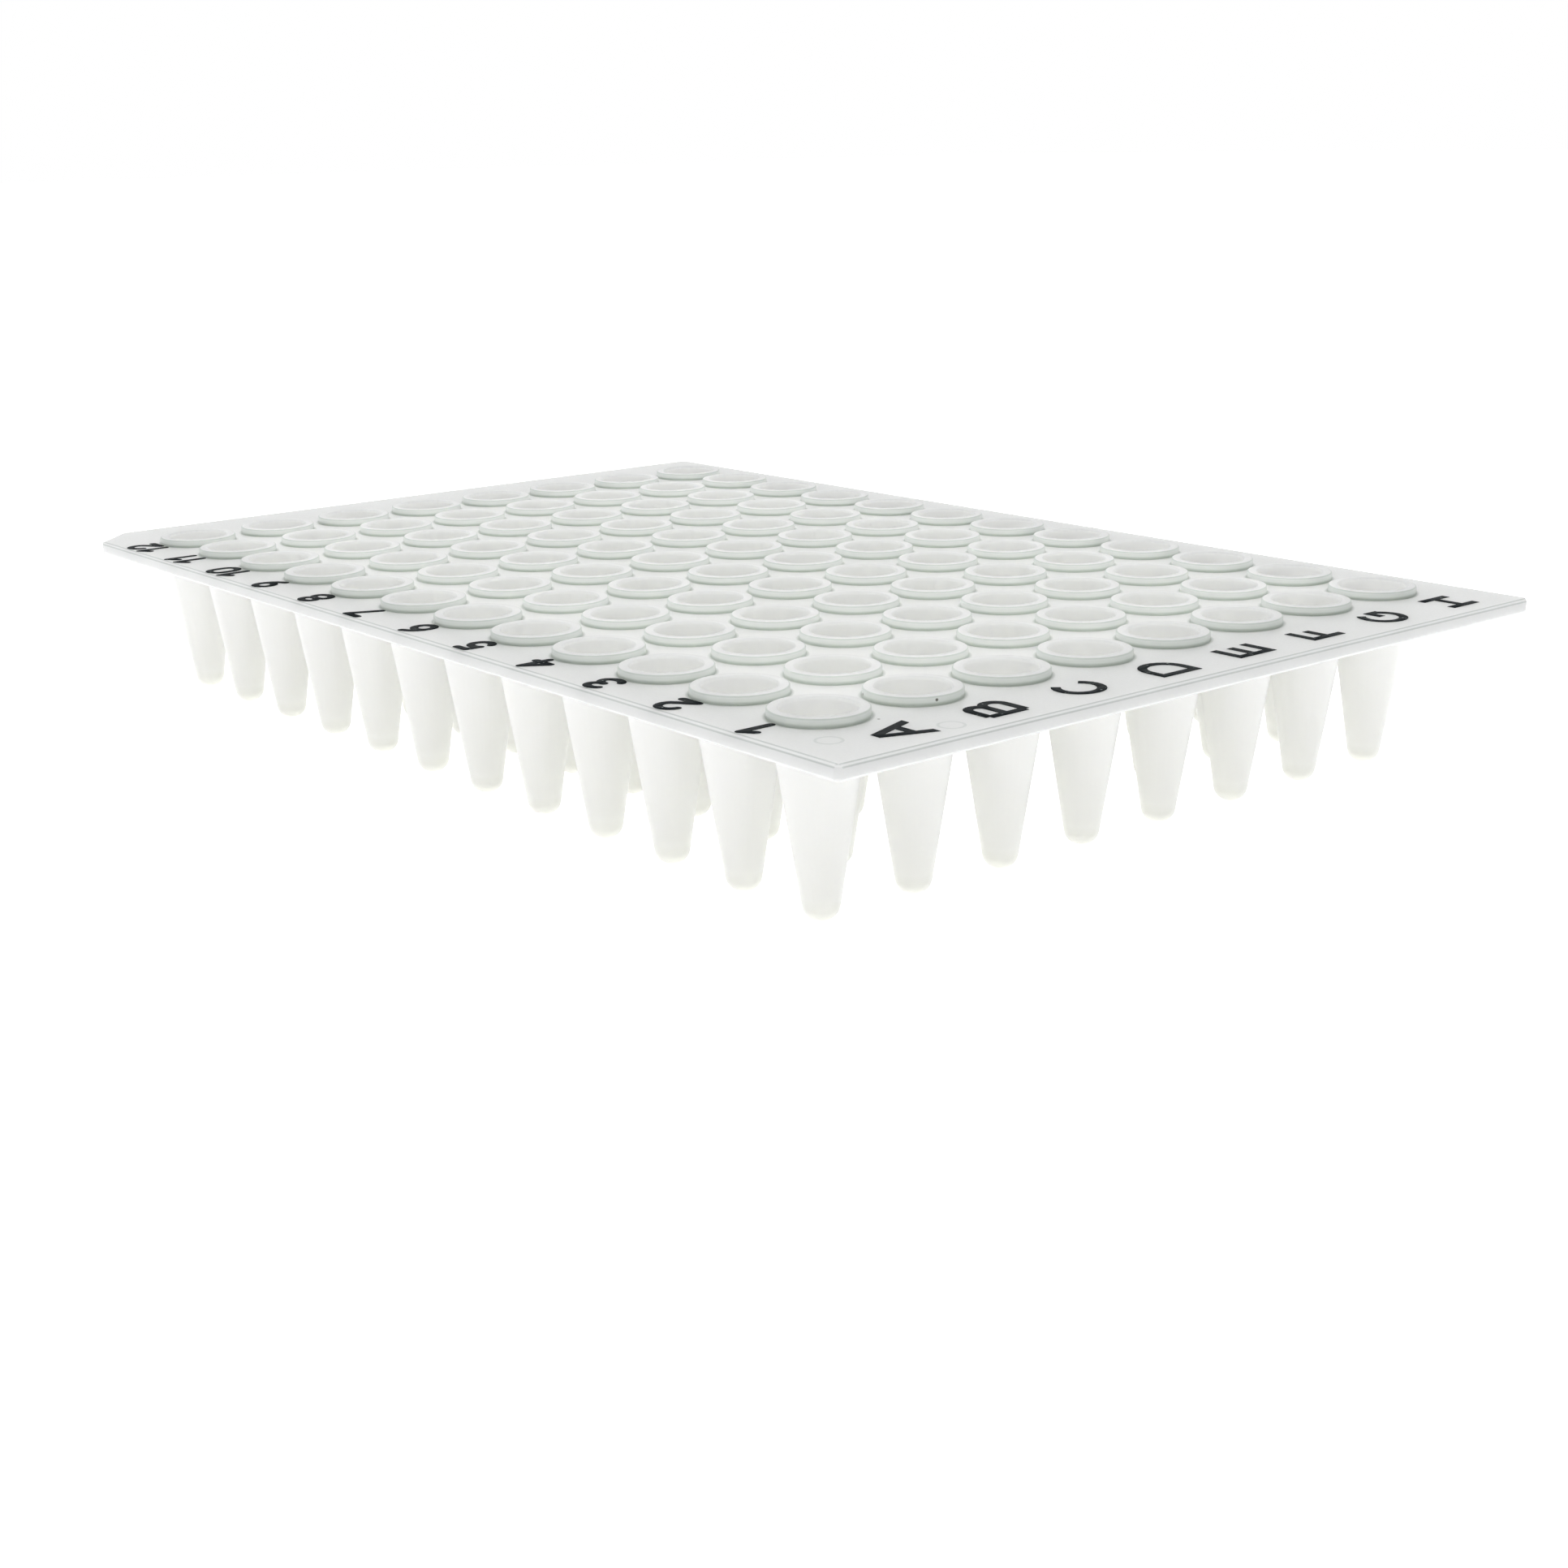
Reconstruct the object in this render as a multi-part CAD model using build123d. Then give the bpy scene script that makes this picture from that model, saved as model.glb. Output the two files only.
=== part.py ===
from build123d import *
import os

# Well plate: one thin-walled moulding of 8 x 12 tapered tubes hanging from a flat, unskirted deck.
# Millimetres. +Z up, +X toward column 12, +Y toward row A, origin on the centre of the tube tips.

# Well grid, the standard 9 mm microplate pitch
ROWS = 8
COLUMNS = 12
WELL_PITCH = 9.0

# Deck
DECK_LENGTH = 120.7
DECK_WIDTH = 78.0
DECK_THICKNESS = 1.25
DECK_CORNER_RADIUS = 0.7
DECK_EDGE_BREAK = 0.12
CUT_CORNER_LENGTH = 4.0
CUT_CORNER_WIDTH = 6.5

# Heights above the tube tips
TUBE_DEPTH = 15.2
RIM_HEIGHT = 0.7

# Outside of one well
RIM_RADIUS = 3.75
TUBE_TOP_RADIUS = 3.43
TUBE_END_RADIUS = 1.25
TIP_ROUNDING = 1.15

# Bore of one well
MOUTH_RADIUS = 2.95
LEAD_IN_DEPTH = 0.25
BARREL_TOP_RADIUS = 2.85
BARREL_END_RADIUS = 2.78
BARREL_LENGTH = 3.4
BORE_END_RADIUS = 0.9
FLOOR_THICKNESS = 0.45
FLOOR_ROUNDING = 0.8

# Heights worked out from the sizes above, and the run of a cut past the face that it opens
DECK_TOP = TUBE_DEPTH
DECK_UNDERSIDE = DECK_TOP - DECK_THICKNESS
RIM_TOP = DECK_TOP + RIM_HEIGHT
BARREL_END = RIM_TOP - BARREL_LENGTH
OVERSHOOT = 1.0


def deck_blank():
    """Flat deck with one cut corner, at column 12 of row A, that keys the plate in its holder."""
    half_length, half_width = DECK_LENGTH / 2, DECK_WIDTH / 2
    outline = Polyline(
        (-half_length, -half_width),
        (half_length, -half_width),
        (half_length, half_width - CUT_CORNER_WIDTH),
        (half_length - CUT_CORNER_LENGTH, half_width),
        (-half_length, half_width),
        close=True,
    )
    face = make_face(outline)
    face = fillet(face.vertices(), DECK_CORNER_RADIUS)
    slab = Pos(0, 0, DECK_UNDERSIDE) * extrude(face, DECK_THICKNESS)
    outline_edges = slab.edges().filter_by(Plane.XY)
    return chamfer(outline_edges, DECK_EDGE_BREAK)


def revolved(points, rounded_corner, radius):
    """Solid of revolution about Z from a radius/height outline with its one end corner rounded."""
    outline = make_face(Polyline(*[(r, 0, z) for r, z in points], close=True))
    corner = outline.vertices().sort_by_distance((rounded_corner[0], 0, rounded_corner[1]))[0]
    return revolve(fillet(corner, radius), Axis.Z)


def tube_outside():
    """Raised rim ring and tapered tube with a rounded, slightly flattened tip."""
    tip_corner = (TUBE_END_RADIUS, 0)
    return revolved(
        [
            (0, 0),
            tip_corner,
            (TUBE_TOP_RADIUS, DECK_UNDERSIDE),
            (RIM_RADIUS, DECK_UNDERSIDE + DECK_THICKNESS / 2),
            (RIM_RADIUS, RIM_TOP),
            (0, RIM_TOP),
        ],
        tip_corner,
        TIP_ROUNDING,
    )


def bore():
    """Hollow of a well: bevelled mouth, near-straight barrel, long cone and rounded floor."""
    floor_corner = (BORE_END_RADIUS, FLOOR_THICKNESS)
    mouth_flare = (MOUTH_RADIUS - BARREL_TOP_RADIUS) * OVERSHOOT / LEAD_IN_DEPTH
    return revolved(
        [
            (0, FLOOR_THICKNESS),
            floor_corner,
            (BARREL_END_RADIUS, BARREL_END),
            (BARREL_TOP_RADIUS, RIM_TOP - LEAD_IN_DEPTH),
            (MOUTH_RADIUS + mouth_flare, RIM_TOP + OVERSHOOT),
            (0, RIM_TOP + OVERSHOOT),
        ],
        floor_corner,
        FLOOR_ROUNDING,
    )


def well_plate():
    """Deck with every tube fused on and every bore cut."""
    grid = GridLocations(WELL_PITCH, WELL_PITCH, COLUMNS, ROWS)
    plate = deck_blank() + grid * tube_outside()
    return plate - grid * bore()


os.makedirs("parts", exist_ok=True)
export_step(well_plate(), "parts/plate.step")
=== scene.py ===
"""Dress the well plate: a 96 well moulding in translucent polypropylene with printed labels."""

import logging
import math
from dataclasses import dataclass
from enum import Enum
from typing import Callable, Sequence

import bmesh
import bpy
from bpy.types import Material, Node, NodeSocket, Object, World
from mathutils import Matrix, Vector


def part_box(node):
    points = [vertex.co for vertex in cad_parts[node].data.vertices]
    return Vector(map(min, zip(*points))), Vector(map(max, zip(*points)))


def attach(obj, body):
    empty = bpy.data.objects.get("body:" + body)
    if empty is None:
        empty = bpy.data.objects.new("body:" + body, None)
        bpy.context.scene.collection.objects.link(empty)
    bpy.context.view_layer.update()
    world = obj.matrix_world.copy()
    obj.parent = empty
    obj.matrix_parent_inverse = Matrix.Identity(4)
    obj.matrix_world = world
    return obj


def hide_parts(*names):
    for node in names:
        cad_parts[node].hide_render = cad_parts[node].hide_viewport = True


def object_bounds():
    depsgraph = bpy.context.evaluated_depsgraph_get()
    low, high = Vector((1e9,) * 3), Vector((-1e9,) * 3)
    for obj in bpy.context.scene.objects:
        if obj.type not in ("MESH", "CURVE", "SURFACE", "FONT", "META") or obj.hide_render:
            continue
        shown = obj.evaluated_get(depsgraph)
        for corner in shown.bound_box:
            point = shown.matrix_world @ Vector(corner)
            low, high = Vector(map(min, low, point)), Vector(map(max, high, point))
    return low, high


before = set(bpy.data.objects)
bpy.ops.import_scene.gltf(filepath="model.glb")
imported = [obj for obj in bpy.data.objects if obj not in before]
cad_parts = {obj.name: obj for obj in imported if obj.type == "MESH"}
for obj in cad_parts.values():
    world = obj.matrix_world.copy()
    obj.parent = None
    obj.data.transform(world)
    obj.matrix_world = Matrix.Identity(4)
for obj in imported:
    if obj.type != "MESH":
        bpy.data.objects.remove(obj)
CAD_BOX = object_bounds()

MM = 0.001
NODE = "plate"
BODY = "root"
ROW_LETTERS = "ABCDEFGH"

# Tolerances, in metres: lengths that count as the same, vertices that are welded, and a slice's reach.
SAME = 1e-6
WELD = 2e-6
SLICE = 1e-7
# Farther away than anything on the plate, in metres.
FAR = 1.0
# How much of a face's normal points up or down: at most on an upright face, at least on a level one.
UPRIGHT = 0.1
LEVEL = 0.9

Point = tuple[float, float]
Spot = tuple[float, float, float]

log = logging.getLogger("well_plate")


# ---- Helpers for working in edit mode ----


def deselect_all() -> None:
    """Leave object mode with nothing selected."""
    if bpy.context.mode != "OBJECT":
        bpy.ops.object.mode_set(mode="OBJECT")
    bpy.ops.object.select_all(action="DESELECT")


def make_active(piece: Object) -> None:
    """Select one object alone and make it active.

    Args:
        piece: The object to work on.
    """
    deselect_all()
    piece.select_set(True)
    bpy.context.view_layer.objects.active = piece


def start_editing(piece: Object) -> None:
    """Open one object in edit mode, in vertex select mode, with nothing picked.

    Args:
        piece: The object to edit.
    """
    make_active(piece)
    bpy.ops.object.mode_set(mode="EDIT")
    bpy.ops.mesh.select_mode(type="VERT")
    bpy.ops.mesh.select_all(action="DESELECT")


def pick_points(piece: Object, wanted: Callable[[Vector], bool]) -> None:
    """Select the vertices that lie where a test says, with the edges and faces between them.

    Args:
        piece: The object that is open in edit mode.
        wanted: Test of a vertex's place.
    """
    bpy.ops.mesh.select_all(action="DESELECT")
    mesh = bmesh.from_edit_mesh(piece.data)
    for vertex in mesh.verts:
        if wanted(vertex.co):
            vertex.select = True
    mesh.select_flush(True)
    bmesh.update_edit_mesh(piece.data)


def pick_edges(piece: Object, wanted: Callable[[bmesh.types.BMEdge], bool]) -> None:
    """Go to edge select mode and select the edges that pass a test.

    Args:
        piece: The object that is open in edit mode.
        wanted: Test of an edge.
    """
    bpy.ops.mesh.select_mode(type="EDGE")
    bpy.ops.mesh.select_all(action="DESELECT")
    mesh = bmesh.from_edit_mesh(piece.data)
    for edge in mesh.edges:
        if wanted(edge):
            edge.select = True
    bmesh.update_edit_mesh(piece.data)


def weld(reach: float) -> None:
    """Weld the mesh that is open in edit mode and point its faces outward.

    Args:
        reach: How far apart two vertices may be to be welded, in metres.
    """
    bpy.ops.mesh.select_all(action="SELECT")
    bpy.ops.mesh.remove_doubles(threshold=reach)
    bpy.ops.mesh.normals_make_consistent(inside=False)


def near(value: float, target: float, slack: float = SAME) -> bool:
    """Say whether two lengths are the same, within some slack in their own unit."""
    return abs(value - target) < slack


def apply_modifier(piece: Object, kind: str, **settings: object) -> None:
    """Add one modifier with its settings to a piece and apply it.

    Args:
        piece: The object to change.
        kind: Blender's name of the modifier type.
        **settings: The modifier's properties.
    """
    make_active(piece)
    modifier = piece.modifiers.new(kind.title(), kind)
    for name, value in settings.items():
        setattr(modifier, name, value)
    bpy.ops.object.modifier_apply(modifier=modifier.name)


# ---- Materials ----


def linear(code: str) -> tuple[float, float, float, float]:
    """Turn an sRGB hex colour into linear RGBA.

    Args:
        code: Six hex digits with or without a leading hash.

    Returns:
        The colour as linear red, green, blue and full alpha.
    """
    digits = code.lstrip("#")
    channels = [int(digits[i:i + 2], 16) / 255 for i in (0, 2, 4)]
    red, green, blue = [c / 12.92 if c <= 0.04045 else ((c + 0.055) / 1.055) ** 2.4 for c in channels]
    return red, green, blue, 1.0


class NodeBench:
    """The node tree of a material or of the world, with one way to add a node to it."""

    def __init__(self, owner: Material | World) -> None:
        """Clear the owner's node tree.

        Args:
            owner: The material or world to dress.
        """
        owner.use_nodes = True
        self.tree = owner.node_tree
        self.tree.nodes.clear()

    def add(self, kind: str, inputs: dict | None = None, **settings: object) -> Node:
        """Add one node, set its properties, and set or link its inputs.

        Args:
            kind: The node's type name, without the ShaderNode that all of them begin with.
            inputs: For each input's name or number, a value or the output socket to link to it.
            **settings: Properties of the node itself.

        Returns:
            The new node.
        """
        node = self.tree.nodes.new("ShaderNode" + kind)
        for name, value in settings.items():
            setattr(node, name, value)
        for key, value in (inputs or {}).items():
            if isinstance(value, NodeSocket):
                self.tree.links.new(value, node.inputs[key])
            else:
                node.inputs[key].default_value = value
        return node


class Lay(Enum):
    """How a tone goes on: in place of the tones under it, or as a shade over them."""

    OVER = "MIX"
    SHADE = "MULTIPLY"


class Where(Enum):
    """How two measures pick out one place: either is enough, or both are needed."""

    EITHER = "MAXIMUM"
    BOTH = "MULTIPLY"


@dataclass(frozen=True)
class Mark:
    """A fine line or spot: its colour, and how far out it is gone and still full, in millimetres."""

    colour: str
    gone: float
    full: float


@dataclass(frozen=True)
class Measures:
    """Where a point of the plate lies, as node outputs in metres."""

    place: NodeSocket
    height: NodeSocket
    radius: NodeSocket
    past_core: NodeSocket
    past_outline: NodeSocket


@dataclass(frozen=True)
class MouldedPolypropylene:
    """Thin-walled natural polypropylene, injection moulded: milky, see-through and satin.

    Light enters the walls and spreads, so the thin tubes and the deck between them look white.
    Painted light makes the tubes and bores a touch whiter still, and painted shade makes the solid
    border, the side faces, the lower tubes and the closed tips a little greyer and the outer walls
    of the rims darker. Fine grey lines of painted shade follow the crisp edges and the lip of every
    rim, with a darker painted band at each rim's foot. The mould's spark-eroded face breaks up the
    gloss, slow flow marks shade the deck, the ejector pins leave faint rings beside the first well,
    and a few dust specks are moulded in.
    """

    name: str = "moulded_polypropylene"
    # Painted light: the tubes and the bores a touch whiter than the deck.
    tube: str = "#FFFFFD"
    # Painted shade: the tubes darker towards their tips, and the closed tips greyer.
    lower_tube: str = "#F8F8F5"
    tip: str = "#EBEBE7"
    deck: str = "#FDFEFD"
    # Painted shade: the deck's outer band, from the outer ring of wells to the edge, greyer than the field.
    border: str = "#D9DADA"
    # Painted shade: the deck's upright side faces a little darker.
    side: str = "#E9E9EA"
    # Painted shade: the outer walls of the rims are tinted darker all round.
    rim_wall: str = "#EBF0EC"
    # Painted shade: thin grey lines along the deck's broken edges and round the lip of each rim, and a darker
    # band at the foot of each rim.
    edge_line: Mark = Mark("#D2D6D5", 0.11, 0.03)
    rim_lip: Mark = Mark("#E2E6E3", 0.11, 0.03)
    rim_foot: Mark = Mark("#BFC5C0", 0.3, 0.04)
    pin_line: Mark = Mark("#E9ECEB", 0.16, 0.06)
    speck: Mark = Mark("#4A4842", 0.14, 0.08)
    # Where the tones change, in millimetres: the first three are blends, the others depths and heights.
    crisp: float = 0.02
    soft: float = 0.1
    root_blend: float = 1.2
    wall_skin: float = 0.06
    side_depth: float = 0.6
    lip_inset: float = 0.04
    lower_tube_from: float = 9.0
    tip_from: float = 1.8
    tip_full: float = 0.2
    # A part of the light goes straight through, and all the rest spreads over a few millimetres.
    scatter: float = 1.0
    scatter_mm: float = 3.0
    scatter_tint: Spot = (1.0, 1.0, 0.95)
    clear: float = 0.3
    index: float = 1.49
    # The real grain is a few hundredths of a millimetre wide, too fine to show, so it is drawn at 0.22.
    grain_mm: float = 0.22
    grain_depth_mm: float = 0.004
    grain_strength: float = 0.6
    smoothest: float = 0.3
    roughest: float = 0.4
    flow_mm: float = 14.0
    flow_shade: float = 0.985
    # Values of the noise between which the gloss and the flow marks change.
    grain_band: Point = (0.3, 0.7)
    flow_band: Point = (0.35, 0.65)
    pin_mm: float = 0.95
    pins: tuple[Spot, ...] = ((-55.15, 35.35, 15.2), (-57.8, 26.5, 15.2))
    specks: tuple[Spot, ...] = ((-47.65, 25.78, 15.45), (-53.1, 23.5, 15.62), (-53.15, 29.09, 15.2))

    def build(self, well: "WellShape", half: Vector, edge_break: float) -> Material:
        """Make the material.

        Args:
            well: The well's sizes, which set where the thin tubes end and the rims stand.
            half: Half the deck's length and width, in metres.
            edge_break: Width of the deck's broken edges in millimetres.

        Returns:
            The finished material.
        """
        material = bpy.data.materials.new(self.name)
        bench = NodeBench(material)
        at = self._measure(bench, well, half)
        flow = bench.add(
            "TexNoise",
            {"Vector": at.place, "Scale": 1 / (self.flow_mm * MM), "Detail": 2.0, "Roughness": 0.5},
        )
        low, high = self.flow_band
        streak = bench.add(
            "MapRange",
            {"Value": flow.outputs["Fac"], "From Min": low, "From Max": high, "To Min": self.flow_shade},
        )
        colour = bench.add(
            "Mix",
            {"Factor": 1.0, 6: self._tones(bench, at, well, edge_break), 7: streak.outputs["Result"]},
            data_type="RGBA",
            blend_type="MULTIPLY",
        )
        grain = bench.add(
            "TexNoise",
            {"Vector": at.place, "Scale": 1 / (self.grain_mm * MM), "Detail": 3.0, "Roughness": 0.55},
        ).outputs["Fac"]
        low, high = self.grain_band
        rough = bench.add(
            "MapRange",
            {
                "Value": grain,
                "From Min": low,
                "From Max": high,
                "To Min": self.smoothest,
                "To Max": self.roughest,
            },
        )
        relief = bench.add(
            "Bump",
            {"Strength": self.grain_strength, "Distance": self.grain_depth_mm * MM, "Height": grain},
        )
        shader = bench.add(
            "BsdfPrincipled",
            {
                "Base Color": colour.outputs[2],
                "Roughness": rough.outputs["Result"],
                "IOR": self.index,
                "Transmission Weight": self.clear,
                "Subsurface Weight": self.scatter,
                "Subsurface Radius": self.scatter_tint,
                "Subsurface Scale": self.scatter_mm * MM,
                "Normal": relief.outputs["Normal"],
            },
        )
        bench.add("OutputMaterial", {"Surface": shader.outputs["BSDF"]})
        return material

    def _measure(self, bench: NodeBench, well: "WellShape", half: Vector) -> Measures:
        """Measure where a point lies: above the tips, off the nearest well's axis, and past two outlines.

        Args:
            bench: The material's nodes.
            well: The well's sizes.
            half: Half the deck's length and width, in metres.

        Returns:
            The measures; the first outline leaves out the outer ring of wells, the second is the deck's.
        """
        place = bench.add("TexCoord").outputs["Object"]
        height = bench.add("SeparateXYZ", {"Vector": place}).outputs["Z"]
        pitch = well.pitch * MM
        no_limit = 100
        limits = [Vector((well.columns / 2 - out, well.rows / 2 - out, no_limit)) * pitch for out in (0, 1)]
        capped = [bench.add("VectorMath", {0: place, 1: side}, operation="MINIMUM") for side in limits]
        in_grid, in_core = (
            bench.add("VectorMath", {0: low.outputs[0], 1: -side}, operation="MAXIMUM").outputs[0]
            for low, side in zip(capped, limits)
        )
        past_core = bench.add("VectorMath", {0: place, 1: in_core}, operation="DISTANCE")
        cell = bench.add("VectorMath", {0: in_grid, 1: (pitch, pitch, 0), 2: (0, 0, 0)}, operation="WRAP")
        axis = (pitch / 2, pitch / 2, 0)
        radius = bench.add("VectorMath", {0: cell.outputs[0], 1: axis}, operation="DISTANCE")
        past = bench.add("VectorMath", {0: place}, operation="ABSOLUTE")
        past = bench.add("VectorMath", {0: past.outputs[0], 1: (half.x, half.y, 0)}, operation="SUBTRACT")
        past = bench.add("SeparateXYZ", {"Vector": past.outputs[0]})
        past = bench.add("Math", {0: past.outputs["X"], 1: past.outputs["Y"]}, operation="MAXIMUM")
        return Measures(place, height, radius.outputs["Value"], past_core.outputs["Value"], past.outputs[0])

    def _tones(
        self, bench: NodeBench, at: Measures, well: "WellShape", edge_break: float
    ) -> NodeSocket:
        """Colour by the moulding's section: deck, tubes, border, rim walls, side faces, lines and specks.

        The tubes and bores carry painted light; the border, rim walls, side faces, lower tubes, tips and
        the edge, lip and foot lines carry painted shade.

        Args:
            bench: The material's nodes.
            at: Where the point lies.
            well: The well's sizes.
            edge_break: Width of the deck's broken edges in millimetres.

        Returns:
            The colour.
        """
        top, underside, mouth, wall = well.deck_top, well.deck_underside, well.mouth_radius, well.rim_radius
        foot, skin, above = top - edge_break, wall - self.wall_skin, top + self.crisp
        at_edge = bench.add("CombineXYZ", {"X": at.past_outline, "Y": at.height}).outputs[0]
        at_rim = bench.add("CombineXYZ", {"X": at.radius, "Y": at.height}).outputs[0]
        edges = ((-edge_break, top, 0), (0, foot, 0))
        lip = ((wall - self.lip_inset, well.rim_top - self.lip_inset, 0),)
        # Each area: its colour, how it goes on, how its measures are joined, and each measure with the
        # lengths in millimetres at which it is none and full.
        areas = [
            # Painted shade: the outer band greyer.
            (self.border, Lay.OVER, Where.BOTH, [(at.past_core, 0.0, well.pitch)]),
            # Painted light: tubes and bores whiter.
            (self.tube, Lay.OVER, Where.EITHER, [
                (at.height, underside, underside - self.root_blend), (at.radius, mouth, mouth - self.soft)]),
            # Painted shade: the rims' outer walls, above the deck, darker.
            (self.rim_wall, Lay.SHADE, Where.BOTH, [
                (at.radius, skin - self.soft, skin), (at.height, above, above + self.soft)]),
            # Painted shade: the upright side faces darker.
            (self.side, Lay.SHADE, Where.BOTH, [
                (at.past_outline, -self.side_depth - self.crisp, -self.side_depth + self.crisp),
                (at.height, foot + self.crisp, foot - self.crisp)]),
            # Painted shade: lower tubes darker towards the tips, and the tips greyer.
            (self.lower_tube, Lay.SHADE, Where.BOTH, [(at.height, self.lower_tube_from, 0.0)]),
            (self.tip, Lay.SHADE, Where.BOTH, [(at.height, self.tip_from, self.tip_full)]),
        ]
        # The edge, lip and foot lines are painted shade; the pin rings and the specks are marks of the
        # moulding.
        marks = [
            (mark.colour, lay, Where.BOTH, [(self._away(bench, start, spots, ring), mark.gone, mark.full)])
            for mark, lay, start, spots, ring in (
                (self.edge_line, Lay.SHADE, at_edge, edges, 0.0),
                (self.pin_line, Lay.SHADE, at.place, self.pins, self.pin_mm),
                (self.speck, Lay.OVER, at.place, self.specks, 0.0),
                (self.rim_lip, Lay.SHADE, at_rim, lip, 0.0),
                (self.rim_foot, Lay.SHADE, at_rim, ((wall, top, 0),), 0.0),
            )
        ]
        tone = linear(self.deck)
        for code, lay, where, bands in areas + marks:
            masks = [
                bench.add("MapRange", {"Value": value, "From Min": none * MM, "From Max": full * MM})
                for value, none, full in bands
            ]
            mask = masks[0].outputs[0]
            for other in masks[1:]:
                mask = bench.add("Math", {0: mask, 1: other.outputs[0]}, operation=where.value).outputs[0]
            tone = bench.add(
                "Mix", {"Factor": mask, 6: tone, 7: linear(code)}, data_type="RGBA", blend_type=lay.value
            ).outputs[2]
        return tone

    def _away(
        self, bench: NodeBench, place: NodeSocket, spots: Sequence[Spot], ring: float
    ) -> NodeSocket:
        """Measure how far a place is from the nearest of some spots, or from circles round them.

        Args:
            bench: The material's nodes.
            place: The place to measure from, in metres.
            spots: The spots, in millimetres.
            ring: Radius of the circles in millimetres; 0 measures to the spots themselves.

        Returns:
            The distance in metres.
        """
        nearest = FAR
        for spot in spots:
            away = bench.add("VectorMath", {0: place, 1: Vector(spot) * MM}, operation="DISTANCE")
            away = bench.add("Math", {0: away.outputs["Value"], 1: ring * MM}, operation="SUBTRACT")
            away = bench.add("Math", {0: away.outputs[0]}, operation="ABSOLUTE")
            nearest = bench.add("Math", {0: away.outputs[0], 1: nearest}, operation="MINIMUM").outputs[0]
        return nearest


@dataclass(frozen=True)
class PrintedInk:
    """Pad-printed black ink on plastic: matt, a little uneven in cover, with a few rubbed specks."""

    name: str = "pad_printed_ink"
    full_ink: str = "#101416"
    thin_ink: str = "#23292B"
    rubbed_ink: str = "#7D8382"
    rub_from: float = 0.64
    rub_full: float = 0.7
    roughness: float = 0.8
    index: float = 1.5
    gloss: float = 0.12
    patch_mm: float = 0.5
    skin_depth_mm: float = 0.003
    skin_strength: float = 0.5

    def build(self) -> Material:
        """Make the material.

        Returns:
            The finished material.
        """
        material = bpy.data.materials.new(self.name)
        bench = NodeBench(material)
        place = bench.add("TexCoord").outputs["Object"]
        patches = bench.add(
            "TexNoise",
            {"Vector": place, "Scale": 1 / (self.patch_mm * MM), "Detail": 4.0, "Roughness": 0.6},
        )
        cover = bench.add(
            "Mix",
            {"Factor": patches.outputs["Fac"], 6: linear(self.full_ink), 7: linear(self.thin_ink)},
            data_type="RGBA",
        )
        rub = bench.add(
            "MapRange",
            {"Value": patches.outputs["Fac"], "From Min": self.rub_from, "From Max": self.rub_full},
        )
        cover = bench.add(
            "Mix",
            {"Factor": rub.outputs["Result"], 6: cover.outputs[2], 7: linear(self.rubbed_ink)},
            data_type="RGBA",
        )
        relief = bench.add(
            "Bump",
            {
                "Strength": self.skin_strength,
                "Distance": self.skin_depth_mm * MM,
                "Height": patches.outputs["Fac"],
            },
        )
        shader = bench.add(
            "BsdfPrincipled",
            {
                "Base Color": cover.outputs[2],
                "Roughness": self.roughness,
                "IOR": self.index,
                "Specular IOR Level": self.gloss,
                "Normal": relief.outputs["Normal"],
            },
        )
        bench.add("OutputMaterial", {"Surface": shader.outputs["BSDF"]})
        return material


@dataclass(frozen=True)
class LightTable:
    """Opal white acrylic table lit softly from below, bright enough that no shadow shows on its white."""

    name: str = "opal_acrylic"
    acrylic: str = "#F7F7F7"
    table_glow: float = 0.78
    seen_lift: float = 0.2

    def build(self) -> Material:
        """Make the material.

        Returns:
            The finished material.
        """
        material = bpy.data.materials.new(self.name)
        bench = NodeBench(material)
        surface = bench.add("BsdfDiffuse", {"Color": linear(self.acrylic)})
        path = bench.add("LightPath").outputs
        seen = bench.add("Math", {0: path["Is Camera Ray"], 1: path["Is Glossy Ray"]}, operation="MAXIMUM")
        seen = bench.add("Math", {0: seen.outputs[0], 1: path["Is Transmission Ray"]}, operation="MAXIMUM")
        strength = bench.add(
            "Math", {0: seen.outputs[0], 1: self.seen_lift, 2: self.table_glow}, operation="MULTIPLY_ADD"
        )
        glow = bench.add("Emission", {"Color": linear("#FFFFFF"), "Strength": strength.outputs[0]})
        both = bench.add("AddShader", {0: surface.outputs[0], 1: glow.outputs[0]})
        bench.add("OutputMaterial", {"Surface": both.outputs[0]})
        return material


# ---- The moulding ----


@dataclass(frozen=True)
class Turn:
    """One corner of a lathed outline, in millimetres."""

    radius: float
    height: float
    rounding: float = 0.0
    steps: int = 0


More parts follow.
